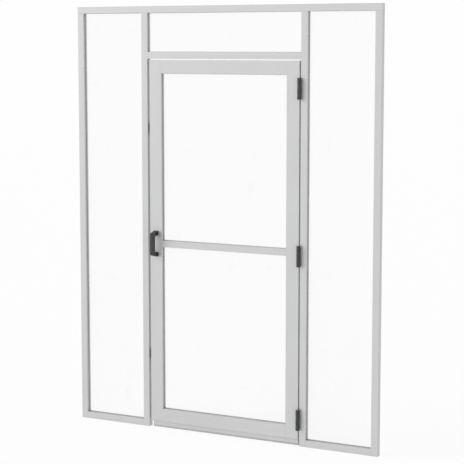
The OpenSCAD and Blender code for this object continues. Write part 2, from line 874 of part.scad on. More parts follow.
module door_joint_screws() {
    color(STEEL) for (j = leaf_rail_joints) {
        at_leaf_joint(leaf_glass_lo, 1, j[0]) joint_screws(j[1], leaf_d, leaf_wall, j[2]);
        at_leaf_joint(leaf_glass_hi, -1, j[0]) joint_screws(j[1], leaf_d, leaf_wall, j[2]);
    }
}

// Cap for a stile end, from its outside face up, with its spigot in the main chamber
module stile_cap(groove_lo) {
    chamber_lo = groove_lo ? groove_deep + leaf_wall : leaf_wall;
    linear_extrude(stile_cap_t) translate([0, -leaf_d / 2])
        round_rect(leaf_stile_face, leaf_d, edge_r);
    linear_extrude(stile_cap_t + spigot_l)
        translate([chamber_lo + plug_fit, plug_fit - leaf_inner_d / 2])
        square([leaf_stile_chamber - 2 * plug_fit, leaf_inner_d - 2 * plug_fit]);
}

module stile_end_caps() {
    color(GREY_CAP) for (side = [[leaf_lo, false], [leaf_glass_hi, true]]) {
        translate([side[0], leaf_y, leaf_lift]) stile_cap(side[1]);
        translate([side[0], leaf_y, leaf_top]) mirror([0, 0, 1]) stile_cap(side[1]);
    }
}

// Pull handle: a bridge drawn from the side, trimmed to rounded outlines from front and top

// Side outline from the face of the leaf outwards, narrower by the slope at its rounded front
module bridge_side(out, l, r, slope) {
    hull() {
        translate([-cut, -l / 2]) square([foot_base + cut, l]);
        for (side = [-1, 1]) translate([out - r, side * (l / 2 - slope - r)]) circle(r);
    }
}

module pull_handle() {
    color(BLACK) translate([handle_x, front_y, handle_z]) difference() {
        intersection() {
            translate([-handle_w / 2, 0, 0]) rotate([90, 0, 90]) mirror([1, 0, 0])
                linear_extrude(handle_w) difference() {
                    bridge_side(handle_out, handle_l, bend_r, foot_slope);
                    bridge_side(handle_out - grip_t, handle_l - 2 * foot_h, inner_bend_r, 0);
                }
            translate([-handle_w / 2, 0, -handle_l / 2]) rotate([90, 0, 0])
                linear_extrude(handle_out + cut) round_rect(handle_w, handle_l, grip_edge_r);
            translate([-handle_w / 2, -handle_out, -handle_l / 2]) linear_extrude(handle_l)
                round_rect(handle_w, handle_out + grip_edge_r, grip_edge_r);
        }
        for (side = [-1, 1]) translate([0, 0, side * handle_pitch / 2]) rotate([90, 0, 0])
            translate([0, 0, -cut]) cylinder(r = handle_screw_r + screw_fit,
                h = handle_screw_in + cut + screw_fit);
    }
}

module handle_screws() {
    color(STEEL) for (side = [-1, 1])
        translate([handle_x, leaf_back, handle_z + side * handle_pitch / 2])
        rotate([-90, 0, 0]) pan_screw(handle_screw_r, leaf_d + handle_screw_in);
}

// Sweep under the leaf

module sweep_screw_places() {
    pitch = (sweep_l - 2 * sweep_screw_inset) / (sweep_screws_count - 1);
    for (i = [0:sweep_screws_count - 1])
        translate([sweep_lo + sweep_screw_inset + i * pitch, leaf_y, leaf_lift]) children();
}

module sweep_channel() {
    color(ANODISED) difference() {
        translate([sweep_lo, leaf_y - sweep_w / 2, sweep_z]) cube([sweep_l, sweep_w, sweep_h]);
        translate([sweep_lo - cut, leaf_y - sweep_w / 2 + sweep_wall, sweep_z - cut])
            cube([sweep_l + 2 * cut, blade_t, sweep_h - sweep_web + cut]);
        sweep_screw_places() translate([0, 0, -sweep_web - cut])
            cylinder(r = sweep_screw_r + screw_fit, h = sweep_web + 2 * cut);
    }
}

// A block held in the channel, with two fins that close the gap over the floor
module sweep_blade() {
    color(GREY_SEAL) translate([sweep_lo, leaf_y, floor_gap]) difference() {
        translate([0, -blade_t / 2, 0]) cube([sweep_l, blade_t, blade_shows + blade_held]);
        translate([-cut, fin_t - blade_t / 2, -cut])
            cube([sweep_l + 2 * cut, blade_t - 2 * fin_t, blade_shows + cut]);
    }
}

module sweep_screws() {
    color(STEEL) sweep_screw_places() translate([0, 0, -sweep_web]) mirror([0, 0, 1])
        pan_screw(sweep_screw_r, sweep_screw_l);
}

left_stile();
left_jamb();
right_jamb();
right_stile();
top_rail();
header_rail();
left_bottom_rail();
right_bottom_rail();
left_sidelight_panel();
right_sidelight_panel();
transom_panel();
left_sidelight_gasket();
right_sidelight_gasket();
transom_gasket();
frame_joint_blocks();
frame_joint_screws();
foot_plugs();
top_rail_caps();
jamb_hinge_leaves();
jamb_hinge_screws();
jamb_backing_plates();
hinge_pins();
hinge_springs();
hinge_collars();
stop_plates();
stop_buffers();
stop_screws();
lock_stile();
hinge_stile();
door_top_rail();
door_mid_rail();
door_bottom_rail();
door_upper_panel();
door_lower_panel();
door_upper_gasket();
door_lower_gasket();
door_joint_blocks();
door_joint_screws();
stile_end_caps();
door_hinge_leaves();
door_hinge_screws();
door_backing_plates();
hinge_bushes();
pull_handle();
handle_screws();
sweep_channel();
sweep_blade();
sweep_screws();
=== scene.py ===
"""Looks of a hinged, glazed door in its frame, for the end of an equipment aisle.

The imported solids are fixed. Profiles, sheets and fasteners keep their meshes and get their
finishes here. The hinges' leaves and collars, the pull handle, the seals, the blade of the sweep
and the buffers of the stops are modelled anew and stand for their solids.
Lengths are in metres: X runs along the face, Y away from the viewer, Z up from the floor.
"""

import logging
import math
from abc import ABC, abstractmethod
from collections.abc import Callable, Iterator, Mapping, Sequence
from contextlib import contextmanager
from dataclasses import dataclass
from enum import Enum
from typing import Any, ClassVar

import bpy
from mathutils import Matrix, Vector


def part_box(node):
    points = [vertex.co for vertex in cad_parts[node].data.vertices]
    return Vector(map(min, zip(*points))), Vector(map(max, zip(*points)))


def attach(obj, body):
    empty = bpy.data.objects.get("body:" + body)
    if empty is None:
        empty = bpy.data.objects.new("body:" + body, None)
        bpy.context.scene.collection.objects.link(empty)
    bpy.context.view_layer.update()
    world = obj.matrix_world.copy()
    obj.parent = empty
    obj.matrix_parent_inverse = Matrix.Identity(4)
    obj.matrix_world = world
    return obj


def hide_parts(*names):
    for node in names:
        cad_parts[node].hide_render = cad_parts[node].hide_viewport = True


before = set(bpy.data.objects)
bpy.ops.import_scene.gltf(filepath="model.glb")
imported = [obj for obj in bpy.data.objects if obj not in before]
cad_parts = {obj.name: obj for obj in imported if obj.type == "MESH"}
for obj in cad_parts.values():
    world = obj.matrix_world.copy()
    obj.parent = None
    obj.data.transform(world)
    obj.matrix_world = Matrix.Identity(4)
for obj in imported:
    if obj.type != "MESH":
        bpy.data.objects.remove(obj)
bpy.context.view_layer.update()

log = logging.getLogger("aisle_door")

Triple = tuple[float, float, float]
MM = 0.001
NEAR = MM  # places that are closer than this count as one
FACING = 0.9  # a face looks along an axis if its normal has more than this on it
SQUARE = 0.99  # the same, for a face that stands square to the axis
ALONGSIDE = 0.1  # a face runs along an axis if its normal has less than this on it
MEAN = 0.5  # the middle of a noise


@dataclass(frozen=True)
class Wire:
    """An output of a shader node that takes part in Python arithmetic.

    Each operation adds a Math node. The other side may be a Wire or a number.
    """

    graph: "Graph"
    socket: bpy.types.NodeSocket

    def __add__(self, other: "Wire | float") -> "Wire":
        """Adds other."""
        return self.graph.maths("ADD", self, other)

    def __radd__(self, other: float) -> "Wire":
        """Adds to a number."""
        return self.graph.maths("ADD", other, self)

    def __sub__(self, other: "Wire | float") -> "Wire":
        """Takes other away."""
        return self.graph.maths("SUBTRACT", self, other)

    def __rsub__(self, other: float) -> "Wire":
        """Is taken from a number."""
        return self.graph.maths("SUBTRACT", other, self)

    def __mul__(self, other: "Wire | float") -> "Wire":
        """Multiplies by other."""
        return self.graph.maths("MULTIPLY", self, other)

    def __rmul__(self, other: float) -> "Wire":
        """Multiplies a number."""
        return self.graph.maths("MULTIPLY", other, self)

    def __abs__(self) -> "Wire":
        """Drops the sign."""
        return self.graph.maths("ABSOLUTE", self, 0.0)


class Graph:
    """The node tree of one material or of the world."""

    # Sockets of the Mix node by number, because its kinds share their names.
    MIX_FACTOR: ClassVar[int] = 0
    MIX_FIRST: ClassVar[int] = 6
    MIX_SECOND: ClassVar[int] = 7
    MIX_COLOUR: ClassVar[int] = 2
    SPOT_DETAIL: ClassVar[float] = 3.0
    SKY_SAMPLES: ClassVar[int] = 12

    def __init__(self, tree: bpy.types.NodeTree, sink: str = "ShaderNodeOutputMaterial") -> None:
        """Empties a tree and gives it its output node.

        Args:
            tree: The tree.
            sink: The kind of output node that it ends in.
        """
        tree.nodes.clear()
        self.tree = tree
        self.sink = tree.nodes.new(sink)

    def node(
        self,
        kind: str,
        settings: Mapping[str, Any] | None = None,
        inputs: Mapping[str | int, Any] | None = None,
        output: str | int = 0,
    ) -> Wire:
        """Adds a node.

        Args:
            kind: The node's type.
            settings: Its own settings, which are set before its sockets.
            inputs: Values or Wires for its sockets, by name or number.
            output: The output that the caller wants.

        Returns:
            That output.
        """
        made = self.tree.nodes.new(kind)
        for key, value in (settings or {}).items():
            setattr(made, key, value)
        for key, value in (inputs or {}).items():
            if isinstance(value, Wire):
                self.tree.links.new(value.socket, made.inputs[key])
            else:
                made.inputs[key].default_value = value
        return Wire(self, made.outputs[output])

    def show(self, shader: Wire) -> None:
        """Links a shader to the tree's output node."""
        self.tree.links.new(shader.socket, self.sink.inputs["Surface"])

    def maths(self, operation: str, first: Wire | float, second: Wire | float) -> Wire:
        """Adds a Math node.

        Args:
            operation: The node's operation.
            first: Its first value.
            second: Its second value.

        Returns:
            The result.
        """
        return self.node("ShaderNodeMath", {"operation": operation}, {0: first, 1: second})

    def ramp(self, value: Wire, low: float, high: float) -> Wire:
        """Turns a value into a soft step.

        Args:
            value: What is measured.
            low: Where the step starts, at 0.
            high: Where it ends, at 1.

        Returns:
            A number from 0 to 1.
        """
        inputs = {"Value": value, "From Min": low, "From Max": high}
        return self.node("ShaderNodeMapRange", {"interpolation_type": "SMOOTHSTEP"}, inputs)

    def blend(self, factor: Wire | float, first: Sequence[float], second: Sequence[float]) -> Wire:
        """Mixes two colours.

        Args:
            factor: 0 for the first colour and 1 for the second.
            first: The first colour, red, green and blue.
            second: The second colour.

        Returns:
            The mixed colour.
        """
        inputs = {
            self.MIX_FACTOR: factor,
            self.MIX_FIRST: (*first, 1.0),
            self.MIX_SECOND: (*second, 1.0),
        }
        return self.node("ShaderNodeMix", {"data_type": "RGBA"}, inputs, self.MIX_COLOUR)

    def place(self) -> Wire:
        """Gives the place on the object, in metres."""
        return self.node("ShaderNodeTexCoord", output="Object")

    def axes(self) -> tuple[Wire, ...]:
        """Gives X, Y and Z of the place on the object."""
        inputs = {0: self.place()}
        return tuple(self.node("ShaderNodeSeparateXYZ", None, inputs, i) for i in range(3))

    def grain(self, stretch: Triple, detail: float = 2.0) -> Wire:
        """Gives soft noise around 0.5.

        Args:
            stretch: How many grains a metre holds along each axis.
            detail: Octaves of finer noise.

        Returns:
            The noise.
        """
        inputs = {"Vector": self.place(), "Scale": stretch}
        scaled = self.node("ShaderNodeMapping", inputs=inputs)
        inputs = {"Vector": scaled, "Scale": 1.0, "Detail": detail}
        return self.node("ShaderNodeTexNoise", inputs=inputs)

    def even(self, per_metre: float, detail: float = 2.0) -> Wire:
        """Gives the noise of grain, equally fine along each axis."""
        return self.grain((per_metre, per_metre, per_metre), detail)

    def spots(self, per_metre: float, low: float, high: float) -> Wire:
        """Gives scattered soft spots.

        Args:
            per_metre: How many patches a metre holds.
            low: The noise at which a spot starts.
            high: The noise at which it is full.

        Returns:
            0 between the spots and 1 inside them.
        """
        return self.ramp(self.even(per_metre, self.SPOT_DETAIL), low, high)

    def occlusion(self, reach: float) -> Wire:
        """Gives how enclosed a place is, by ambient occlusion, for painted shade in corners and
        gaps.

        Args:
            reach: How near a neighbour has to be to count.

        Returns:
            0 in the open, towards 1 in a corner or gap.
        """
        settings = {"samples": self.SKY_SAMPLES}
        open_sky = self.node("ShaderNodeAmbientOcclusion", settings, {"Distance": reach}, "AO")
        return 1.0 - open_sky

    def relief(self, height: Wire, depth: float, strength: float) -> Wire:
        """Turns a height into a bumped normal.

        Args:
            height: The height, about 0 to 1.
            depth: What a height of 1 measures.
            strength: The share of it that shows.

        Returns:
            The normal.
        """
        inputs = {"Height": height, "Distance": depth, "Strength": strength}
        return self.node("ShaderNodeBump", inputs=inputs)


class Run(Enum):
    """The way in which a profile was drawn or a piece was brushed."""

    ALONG_X = 0
    ALONG_Y = 1
    ALONG_Z = 2

    def stretch(self, across: float, along: float) -> Triple:
        """Gives a pattern's scale.

        Args:
            across: Repeats in a metre across the run.
            along: Repeats in a metre along it.

        Returns:
            The scale on X, Y and Z.
        """
        scale = [across] * 3
        scale[self.value] = along
        return scale[0], scale[1], scale[2]


class Finish(ABC):
    """A surface finish, with the record's slot that it belongs to."""

    slot: ClassVar[str]

    @abstractmethod
    def surface(self, g: Graph) -> Wire:
        """Builds the shader.

        Args:
            g: The material's tree.

        Returns:
            The shader's output.
        """

    def material(self, name: str) -> bpy.types.Material:
        """Makes the material.

        Args:
            name: What to call it.

        Returns:
            The material.
        """
        made = bpy.data.materials.new(name)
        made.use_nodes = True
        g = Graph(made.node_tree)
        g.show(self.surface(g))
        return made


@dataclass(frozen=True)
class SatinAnodised(Finish):
    """Clear satin anodising on a drawn profile.

    Die lines and soft bands run along it, and its long edges are rubbed a little brighter.
    Painted shade darkens enclosed corners and gaps, and more of it darkens the top face, where
    that is a ledge.
    low and high are the corners of its box. rubs goes to Graph.spots, as do stains, marks,
    hands, scuffs, patches and bloom in the other finishes.
    """

    slot: ClassVar[str] = "anodised_aluminium"
    run: Run
    low: Triple
    high: Triple
    dark: Triple = (0.598, 0.600, 0.602)
    light: Triple = (0.678, 0.680, 0.682)
    metal: float = 0.35
    rough: float = 0.40
    lines_per_metre: float = 900.0
    lines_along: float = 1.6
    bands_per_metre: float = 60.0
    bands_along: float = 0.7
    clouds_per_metre: float = 5.0
    etch_per_metre: float = 3800.0
    rubs: Triple = (40.0, 0.35, 0.6)
    line_tone: float = 0.5
    band_tone: float = 0.3
    cloud_tone: float = 0.35
    rub_tone: float = 0.35
    tone_drop: float = 0.08
    line_rough: float = 0.12
    cloud_rough: float = 0.10
    rub_gloss: float = 0.07
    line_height: float = 0.6
    etch_height: float = 0.4
    depth: float = 0.05 * MM
    relief: float = 0.35
    edge_width: float = 2.2 * MM
    # painted shade: shares of the colour taken away in enclosed corners and gaps, and more on the
    # top face
    corner_shade: float = 0.10
    shade_reach: float = 30.0 * MM
    ledge_shade: float = 0.50
    ledge_skin: float = 0.4 * MM

    def rubbed(self, g: Graph) -> Wire:
        """Finds the long edges of the profile's own box.

        Args:
            g: The material's tree.

        Returns:
            1 on an edge, falling to 0 beside it.
        """
        centre = [(a + b) / 2 for a, b in zip(self.low, self.high)]
        half = [(b - a) / 2 for a, b in zip(self.low, self.high)]
        inward = [
            half[i] - abs(axis - centre[i])
            for i, axis in enumerate(g.axes())
            if i != self.run.value
        ]
        return 1.0 - g.ramp(inward[0] + inward[1], 0.0, self.edge_width)

    def painted_shade(self, g: Graph) -> Wire:
        """Gives how dark the painted shade is at each place, if that place is wholly enclosed.

        Args:
            g: The material's tree.

        Returns:
            The share of the light that it takes.
        """
        top = self.high[2]
        on_top = g.ramp(g.axes()[2], top - 2 * self.ledge_skin, top - self.ledge_skin)
        return self.corner_shade + on_top * self.ledge_shade

    def surface(self, g: Graph) -> Wire:
        """Builds the anodised surface.

        Args:
            g: The material's tree.

        Returns:
            The shader's output.
        """
        lines = g.grain(self.run.stretch(self.lines_per_metre, self.lines_along))
        bands = g.grain(self.run.stretch(self.bands_per_metre, self.bands_along), detail=1.0)
        clouds = g.even(self.clouds_per_metre, detail=3.0)
        etch = g.even(self.etch_per_metre, detail=1.0)
        rub = self.rubbed(g) * g.spots(*self.rubs)
        drawn = lines * self.line_tone + bands * self.band_tone
        tone = drawn + clouds * self.cloud_tone + rub * self.rub_tone - self.tone_drop
        unshaded_colour = g.blend(tone, self.dark, self.light)
        # painted shade: the colour is darkened where ambient occlusion finds the profile enclosed,
        # more on its top face
        shaded_colour = g.node(
            "ShaderNodeVectorMath",
            {"operation": "SCALE"},
            {0: unshaded_colour, "Scale": 1.0 - g.occlusion(self.shade_reach) * self.painted_shade(g)},
        )
        uneven = self.rough + (lines - MEAN) * self.line_rough + (clouds - MEAN) * self.cloud_rough
        height = lines * self.line_height + etch * self.etch_height
        return g.node("ShaderNodeBsdfPrincipled", inputs={
            "Base Color": shaded_colour,
            "Metallic": self.metal,
            "Roughness": uneven - rub * self.rub_gloss,
            "Normal": g.relief(height, self.depth, self.relief),
        })


@dataclass(frozen=True)
class MillAluminium(Finish):
    """Aluminium as it leaves the mill: greyer, with coarser streaks and sawn ends."""

    slot: ClassVar[str] = "mill_aluminium"
    run: Run = Run.ALONG_X
    dark: Triple = (0.40, 0.41, 0.43)
    light: Triple = (0.55, 0.56, 0.58)
    metal: float = 0.85
    rough: float = 0.34
    streaks_per_metre: float = 420.0
    streaks_along: float = 12.0
    streak_rough: float = 0.2
    stains: Triple = (30.0, 0.45, 0.75)
    stain_tone: float = 0.3
    depth: float = 0.08 * MM
    relief: float = 0.5

    def surface(self, g: Graph) -> Wire:
        """Builds the mill finish.

        Args:
            g: The material's tree.

        Returns:
            The shader's output.
        """
        stretch = self.run.stretch(self.streaks_per_metre, self.streaks_along)
        streaks = g.grain(stretch, detail=3.0)
        tone = streaks - g.spots(*self.stains) * self.stain_tone
        return g.node("ShaderNodeBsdfPrincipled", inputs={
            "Base Color": g.blend(tone, self.dark, self.light),
            "Metallic": self.metal,
            "Roughness": self.rough + streaks * self.streak_rough,
            "Normal": g.relief(streaks, self.depth, self.relief),
        })


@dataclass(frozen=True)
class ClearSheet(Finish):
    """Clear sheet: nearly unseen, with a faint haze, wiped streaks and a gloss at its face."""

    slot: ClassVar[str] = "clear_sheet"
    body: Triple = (0.875, 0.885, 0.89)
    haze: float = 0.028
    streak: float = 0.05
    mark: float = 0.03
    sheen: float = 0.5
    grazing: float = 0.12
    rough: float = 0.04
    wiped_rough: float = 0.08
    mark_rough: float = 0.1
    wipes: Triple = (3.0, 3.0, 0.8)  # how many a metre holds along each axis
    marks: Triple = (9.0, 0.58, 0.8)

    def surface(self, g: Graph) -> Wire:
        """Builds the sheet.

        Args:
            g: The material's tree.

        Returns:
            The shader's output.
        """
        wiped = g.grain(self.wipes, detail=3.0)
        marks = g.spots(*self.marks)
        gloss = g.node("ShaderNodeBsdfPrincipled", inputs={
            "Base Color": (*self.body, 1.0),
            "Roughness": self.rough + wiped * self.wiped_rough + marks * self.mark_rough,
        })
        through = g.node("ShaderNodeBsdfTransparent")
        edge_on = g.node("ShaderNodeLayerWeight", inputs={"Blend": self.grazing}, output="Fresnel")
        share = self.haze + wiped * self.streak + marks * self.mark + edge_on * self.sheen
        return g.node("ShaderNodeMixShader", inputs={0: share, 1: through, 2: gloss})


@dataclass(frozen=True)
class Moulding(Finish):
    """Black moulded plastic with a fine spark-eroded texture, shinier where hands rub it."""

    slot: ClassVar[str] = "black_plastic"
    dark: Triple = (0.030, 0.030, 0.032)
    light: Triple = (0.044, 0.044, 0.047)
    rough: float = 0.46
    worn: float = 0.10
    specular: float = 0.5
    mottle: float = 0.4
    hands: Triple = (28.0, 0.42, 0.62)
    texture_per_metre: float = 1500.0
    texture_rough: float = 0.12
    depth: float = 0.12 * MM
    relief: float = 0.55

    def wear_and_shade(self, g: Graph) -> Wire:
        """Gives where hands and dust have been, from 0 to 1."""
        return g.spots(*self.hands)

    def surface(self, g: Graph) -> Wire:
        """Builds the moulded surface.

        Args:
            g: The material's tree.

        Returns:
            The shader's output.
        """
        texture = g.even(self.texture_per_metre)
        wear_and_shade = self.wear_and_shade(g)
        tone = texture * self.mottle + wear_and_shade * (1.0 - self.mottle)
        uneven = self.rough + (texture - MEAN) * self.texture_rough
        return g.node("ShaderNodeBsdfPrincipled", inputs={
            "Base Color": g.blend(tone, self.dark, self.light),
            "Roughness": uneven - wear_and_shade * self.worn,
            "Specular IOR Level": self.specular,
            "Normal": g.relief(texture, self.depth, self.relief),
        })


@dataclass(frozen=True)
class ShadedPullMoulding(Moulding):
    """The pull's black plastic, grey on its grip and darker towards the leaf.

    The black of the feet near the leaf is painted shade; patches of wear vary the grip's grey.
    """

    foot_y: float = 0.0
    grip_y: float = -1.0
    dark: Triple = (0.004, 0.004, 0.004)
    light: Triple = (0.070, 0.070, 0.071)
    specular: float = 0.2
    mottle: float = 0.15
    patchy: float = 0.2

    def wear_and_shade(self, g: Graph) -> Wire:
        """Gives the painted tone: 1 on the grip, falling to 0 in the painted shade of the feet,
        with patches of wear.
        """
        # painted shade: the colour darkens along Y from the grip to the feet near the leaf
        out_of_shade = 1.0 - g.ramp(g.axes()[1], self.grip_y, self.foot_y)
        return out_of_shade * (1.0 - self.patchy + g.spots(*self.hands) * self.patchy)


@dataclass(frozen=True)
class PowderCoat(Finish):
    """Black powder coat on steel: a low orange peel, with grey scuffs."""

    slot: ClassVar[str] = "black_hinge_finish"
    dark: Triple = (0.034, 0.034, 0.036)
    light: Triple = (0.060, 0.060, 0.062)
    rough: float = 0.42
    peel_per_metre: float = 520.0
    peel_tone: float = 0.4
    peel_rough: float = 0.14
    scuffs: Triple = (110.0, 0.60, 0.72)
    scuff_tone: float = 0.5
    scuff_rough: float = 0.08
    depth: float = 0.20 * MM
    relief: float = 0.45

    def surface(self, g: Graph) -> Wire:
        """Builds the coated surface.

        Args:
            g: The material's tree.

        Returns:
            The shader's output.
        """
        peel = g.even(self.peel_per_metre)
        scuffs = g.spots(*self.scuffs)
        tone = peel * self.peel_tone + scuffs * self.scuff_tone
        uneven = self.rough + (peel - MEAN) * self.peel_rough
        return g.node("ShaderNodeBsdfPrincipled", inputs={
            "Base Color": g.blend(tone, self.dark, self.light),
            "Roughness": uneven + scuffs * self.scuff_rough,
            "Normal": g.relief(peel, self.depth, self.relief),
        })


@dataclass(frozen=True)
class ZincPlate(Finish):
    """Zinc-plated steel: cool grey with a faint yellow cast in patches."""

    slot: ClassVar[str] = "zinc_steel"
    cool: Triple = (0.52, 0.54, 0.57)
    warm: Triple = (0.60, 0.57, 0.50)
    metal: float = 0.95
    rough: float = 0.26
    patches: Triple = (60.0, 0.40, 0.70)
    turning: Triple = (700.0, 700.0, 1400.0)  # how many a metre holds along each axis
    turned_rough: float = 0.2
    depth: float = 0.05 * MM
    relief: float = 0.4

    def surface(self, g: Graph) -> Wire:
        """Builds the plated surface.

        Args:
            g: The material's tree.

        Returns:
            The shader's output.
        """
        turned = g.grain(self.turning)
        return g.node("ShaderNodeBsdfPrincipled", inputs={
            "Base Color": g.blend(g.spots(*self.patches), self.cool, self.warm),
            "Metallic": self.metal,
            "Roughness": self.rough + turned * self.turned_rough,
            "Normal": g.relief(turned, self.depth, self.relief),
        })


@dataclass(frozen=True)
class GreyMoulding(Moulding):
    """Light grey moulded plastic of the leaf's end caps."""

    slot: ClassVar[str] = "grey_plastic"
    dark: Triple = (0.52, 0.52, 0.525)
    light: Triple = (0.60, 0.60, 0.605)
    worn: float = 0.0


@dataclass(frozen=True)
class Seal(Finish):
    """Extruded rubber or soft plastic, matt, with lines along its run and a little bloom."""

    slot: ClassVar[str] = "grey_seal"
    run: Run = Run.ALONG_X
    dark: Triple = (0.47, 0.47, 0.475)
    light: Triple = (0.57, 0.57, 0.575)
    rough: float = 0.62
    lines_per_metre: float = 1300.0
    lines_along: float = 6.0
    line_tone: float = 0.5
    line_rough: float = 0.15
    bloom: Triple = (22.0, 0.45, 0.8)
    bloom_tone: float = 0.5
    bloom_rough: float = 0.1
    depth: float = 0.06 * MM
    relief: float = 0.4

    def surface(self, g: Graph) -> Wire:
        """Builds the rubbery surface.

        Args:
            g: The material's tree.

        Returns:
            The shader's output.
        """
        lines = g.grain(self.run.stretch(self.lines_per_metre, self.lines_along))
        bloom = g.spots(*self.bloom)
        tone = lines * self.line_tone + bloom * self.bloom_tone
        return g.node("ShaderNodeBsdfPrincipled", inputs={
            "Base Color": g.blend(tone, self.dark, self.light),
            "Roughness": self.rough + lines * self.line_rough + bloom * self.bloom_rough,
            "Normal": g.relief(lines, self.depth, self.relief),
        })


@dataclass(frozen=True)
class BlackRubber(Seal):
    """Black rubber of the stops' buffers."""

    slot: ClassVar[str] = "black_rubber"
    dark: Triple = (0.020, 0.020, 0.020)
    light: Triple = (0.036, 0.036, 0.036)


class Element(Enum):
    """What the edit-mode tools take hold of."""

    FACE = "FACE"
    EDGE = "EDGE"


class Blank:
    """A piece on the bench: a primitive that edit-mode tools shape and modifiers finish."""

    SMOOTH_BELOW: ClassVar[float] = math.radians(35.0)

    def __init__(self, name: str, add: Callable[..., Any], **options: Any) -> None:
        """Adds a primitive and sets its place into its mesh.

        Args:
            name: The piece's name.
            add: The operator that adds the primitive.
            **options: The operator's own options.
        """
        bpy.ops.object.select_all(action="DESELECT")
        add(**options)
        self.object: bpy.types.Object = bpy.context.object
        self.object.name = name
        bpy.ops.object.transform_apply(location=True, rotation=True, scale=True)

    @classmethod
    def bar(cls, name: str, low: Sequence[float], high: Sequence[float]) -> "Blank":
        """Starts from a rectangular bar.

        Args:
            name: The piece's name.
            low: Its lowest corner.
            high: Its highest corner.

        Returns:
            The bar.
        """
        size = [b - a for a, b in zip(low, high)]
        middle = [(a + b) / 2 for a, b in zip(low, high)]
        return cls(name, bpy.ops.mesh.primitive_cube_add, size=1.0, location=middle, scale=size)

    def _hold(self) -> None:
        """Makes the piece the active object and the only one that is selected."""
        bpy.ops.object.select_all(action="DESELECT")
        self.object.select_set(True)
        bpy.context.view_layer.objects.active = self.object

    @contextmanager
    def editing(self, kind: Element) -> Iterator[None]:
        """Holds the piece in edit mode.

        Args:
            kind: What is selected there.

        Yields:
            Nothing.
        """
        self._hold()
        bpy.ops.object.mode_set(mode="EDIT")
        bpy.ops.mesh.select_mode(type=kind.value)
        try:
            yield
        finally:
            bpy.ops.object.mode_set(mode="OBJECT")

    def _mark(self, kind: Element, wanted: Sequence[bool]) -> None:
        """Selects faces or edges.

        Args:
            kind: Which of the two.
            wanted: True for each one to select.
        """
        with self.editing(kind):
            bpy.ops.mesh.select_all(action="DESELECT")
        mesh = self.object.data
        found = mesh.polygons if kind is Element.FACE else mesh.edges
        found.foreach_set("select", list(wanted))

    @contextmanager
    def faces(self, test: Callable[[Vector, Vector], bool]) -> Iterator[None]:
        """Selects faces and goes to edit mode.

        Args:
            test: Takes a face's centre and normal and says if it is wanted.

        Yields:
            Nothing.
        """
        self._mark(Element.FACE, [test(p.center, p.normal) for p in self.object.data.polygons])
        with self.editing(Element.FACE):
            yield

    @contextmanager
    def edges(self, test: Callable[[Vector, Vector], bool]) -> Iterator[None]:
        """Selects edges and goes to edit mode.

        Args:
            test: Takes an edge's two ends and says if it is wanted.

        Yields:
            Nothing.
        """
        points = self.object.data.vertices
        ends = [[points[v].co for v in e.vertices] for e in self.object.data.edges]
        self._mark(Element.EDGE, [test(a, b) for a, b in ends])
        with self.editing(Element.EDGE):
            yield

    def slice_at(self, axis: int, places: Sequence[float]) -> None:
        """Cuts new edges right round the piece.

        Args:
            axis: The axis that the cuts stand across.
            places: Where they are on it.
        """
        normal = [float(i == axis) for i in range(3)]
        for place in places:
            with self.editing(Element.FACE):
                bpy.ops.mesh.select_all(action="SELECT")
                bpy.ops.mesh.bisect(plane_co=[place * n for n in normal], plane_no=normal)

    def modify(self, kind: str, **settings: Any) -> None:
        """Adds a modifier and applies it.

        Args:
            kind: The modifier's type.
            **settings: Its settings.
        """
        self._hold()
        made = self.object.modifiers.new(kind.lower(), kind)
        for key, value in settings.items():
            setattr(made, key, value)
        bpy.ops.object.modifier_apply(modifier=made.name)

    def carve(self, tool: "Blank") -> None:
        """Cuts another blank out of this one and throws it away."""
        self.modify("BOOLEAN", operation="DIFFERENCE", solver="EXACT", object=tool.object)
        bpy.data.objects.remove(tool.object)

    def fuse(self, part: "Blank") -> None:
        """Joins another blank to this one as one solid and throws it away."""
        self.modify("BOOLEAN", operation="UNION", solver="EXACT", object=part.object)
        bpy.data.objects.remove(part.object)

    def finish(self, body: str, finish: Finish, *stands_for: str) -> bpy.types.Object:
        """Smooths the piece, dresses it and hands it to its body.

        Args:
            body: The body that it rides on.
            finish: Its surface finish.
            *stands_for: The solids that it replaces.

        Returns:
            The finished object.
        """
        self._hold()
        bpy.ops.object.shade_smooth_by_angle(angle=self.SMOOTH_BELOW)
        self.object.data.materials.clear()
        self.object.data.materials.append(finish.material(self.object.name))
        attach(self.object, body)
        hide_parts(*stands_for)
        log.info("modelled %s on %s", self.object.name, body)
        return self.object


def repeat(
    piece: bpy.types.Object, name: str, lift: float, body: str, slot: str, *stands_for: str
) -> None:
    """Copies a finished piece, with a mesh of its own, to another height.

    Args:
        piece: The piece that was modelled.
        name: The copy's name.
        lift: How far the copy lies above it.
        body: The body that the copy rides on.
        slot: Not used.
        *stands_for: The solids that it replaces.
    """
    made = piece.copy()
    made.data = piece.data.copy()
    made.name = made.data.name = name
    made.data.transform(Matrix.Translation((0.0, 0.0, lift)))
    bpy.context.scene.collection.objects.link(made)
    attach(made, body)
    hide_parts(*stands_for)
    log.info("copied %s on %s", name, body)


def dress(node: str, finish: Finish) -> None:
    """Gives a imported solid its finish.

    Args:
        node: The solid's name.
        finish: Its surface finish.
    """
    made = finish.material(node)
    for material_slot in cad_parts[node].material_slots:
        material_slot.material = made
    log.info("dressed %s as %s", node, finish.slot)


class SubAssembly(ABC):
    """Pieces that are made or dressed together."""

    @abstractmethod
    def build(self) -> None:
        """Models and dresses the pieces."""


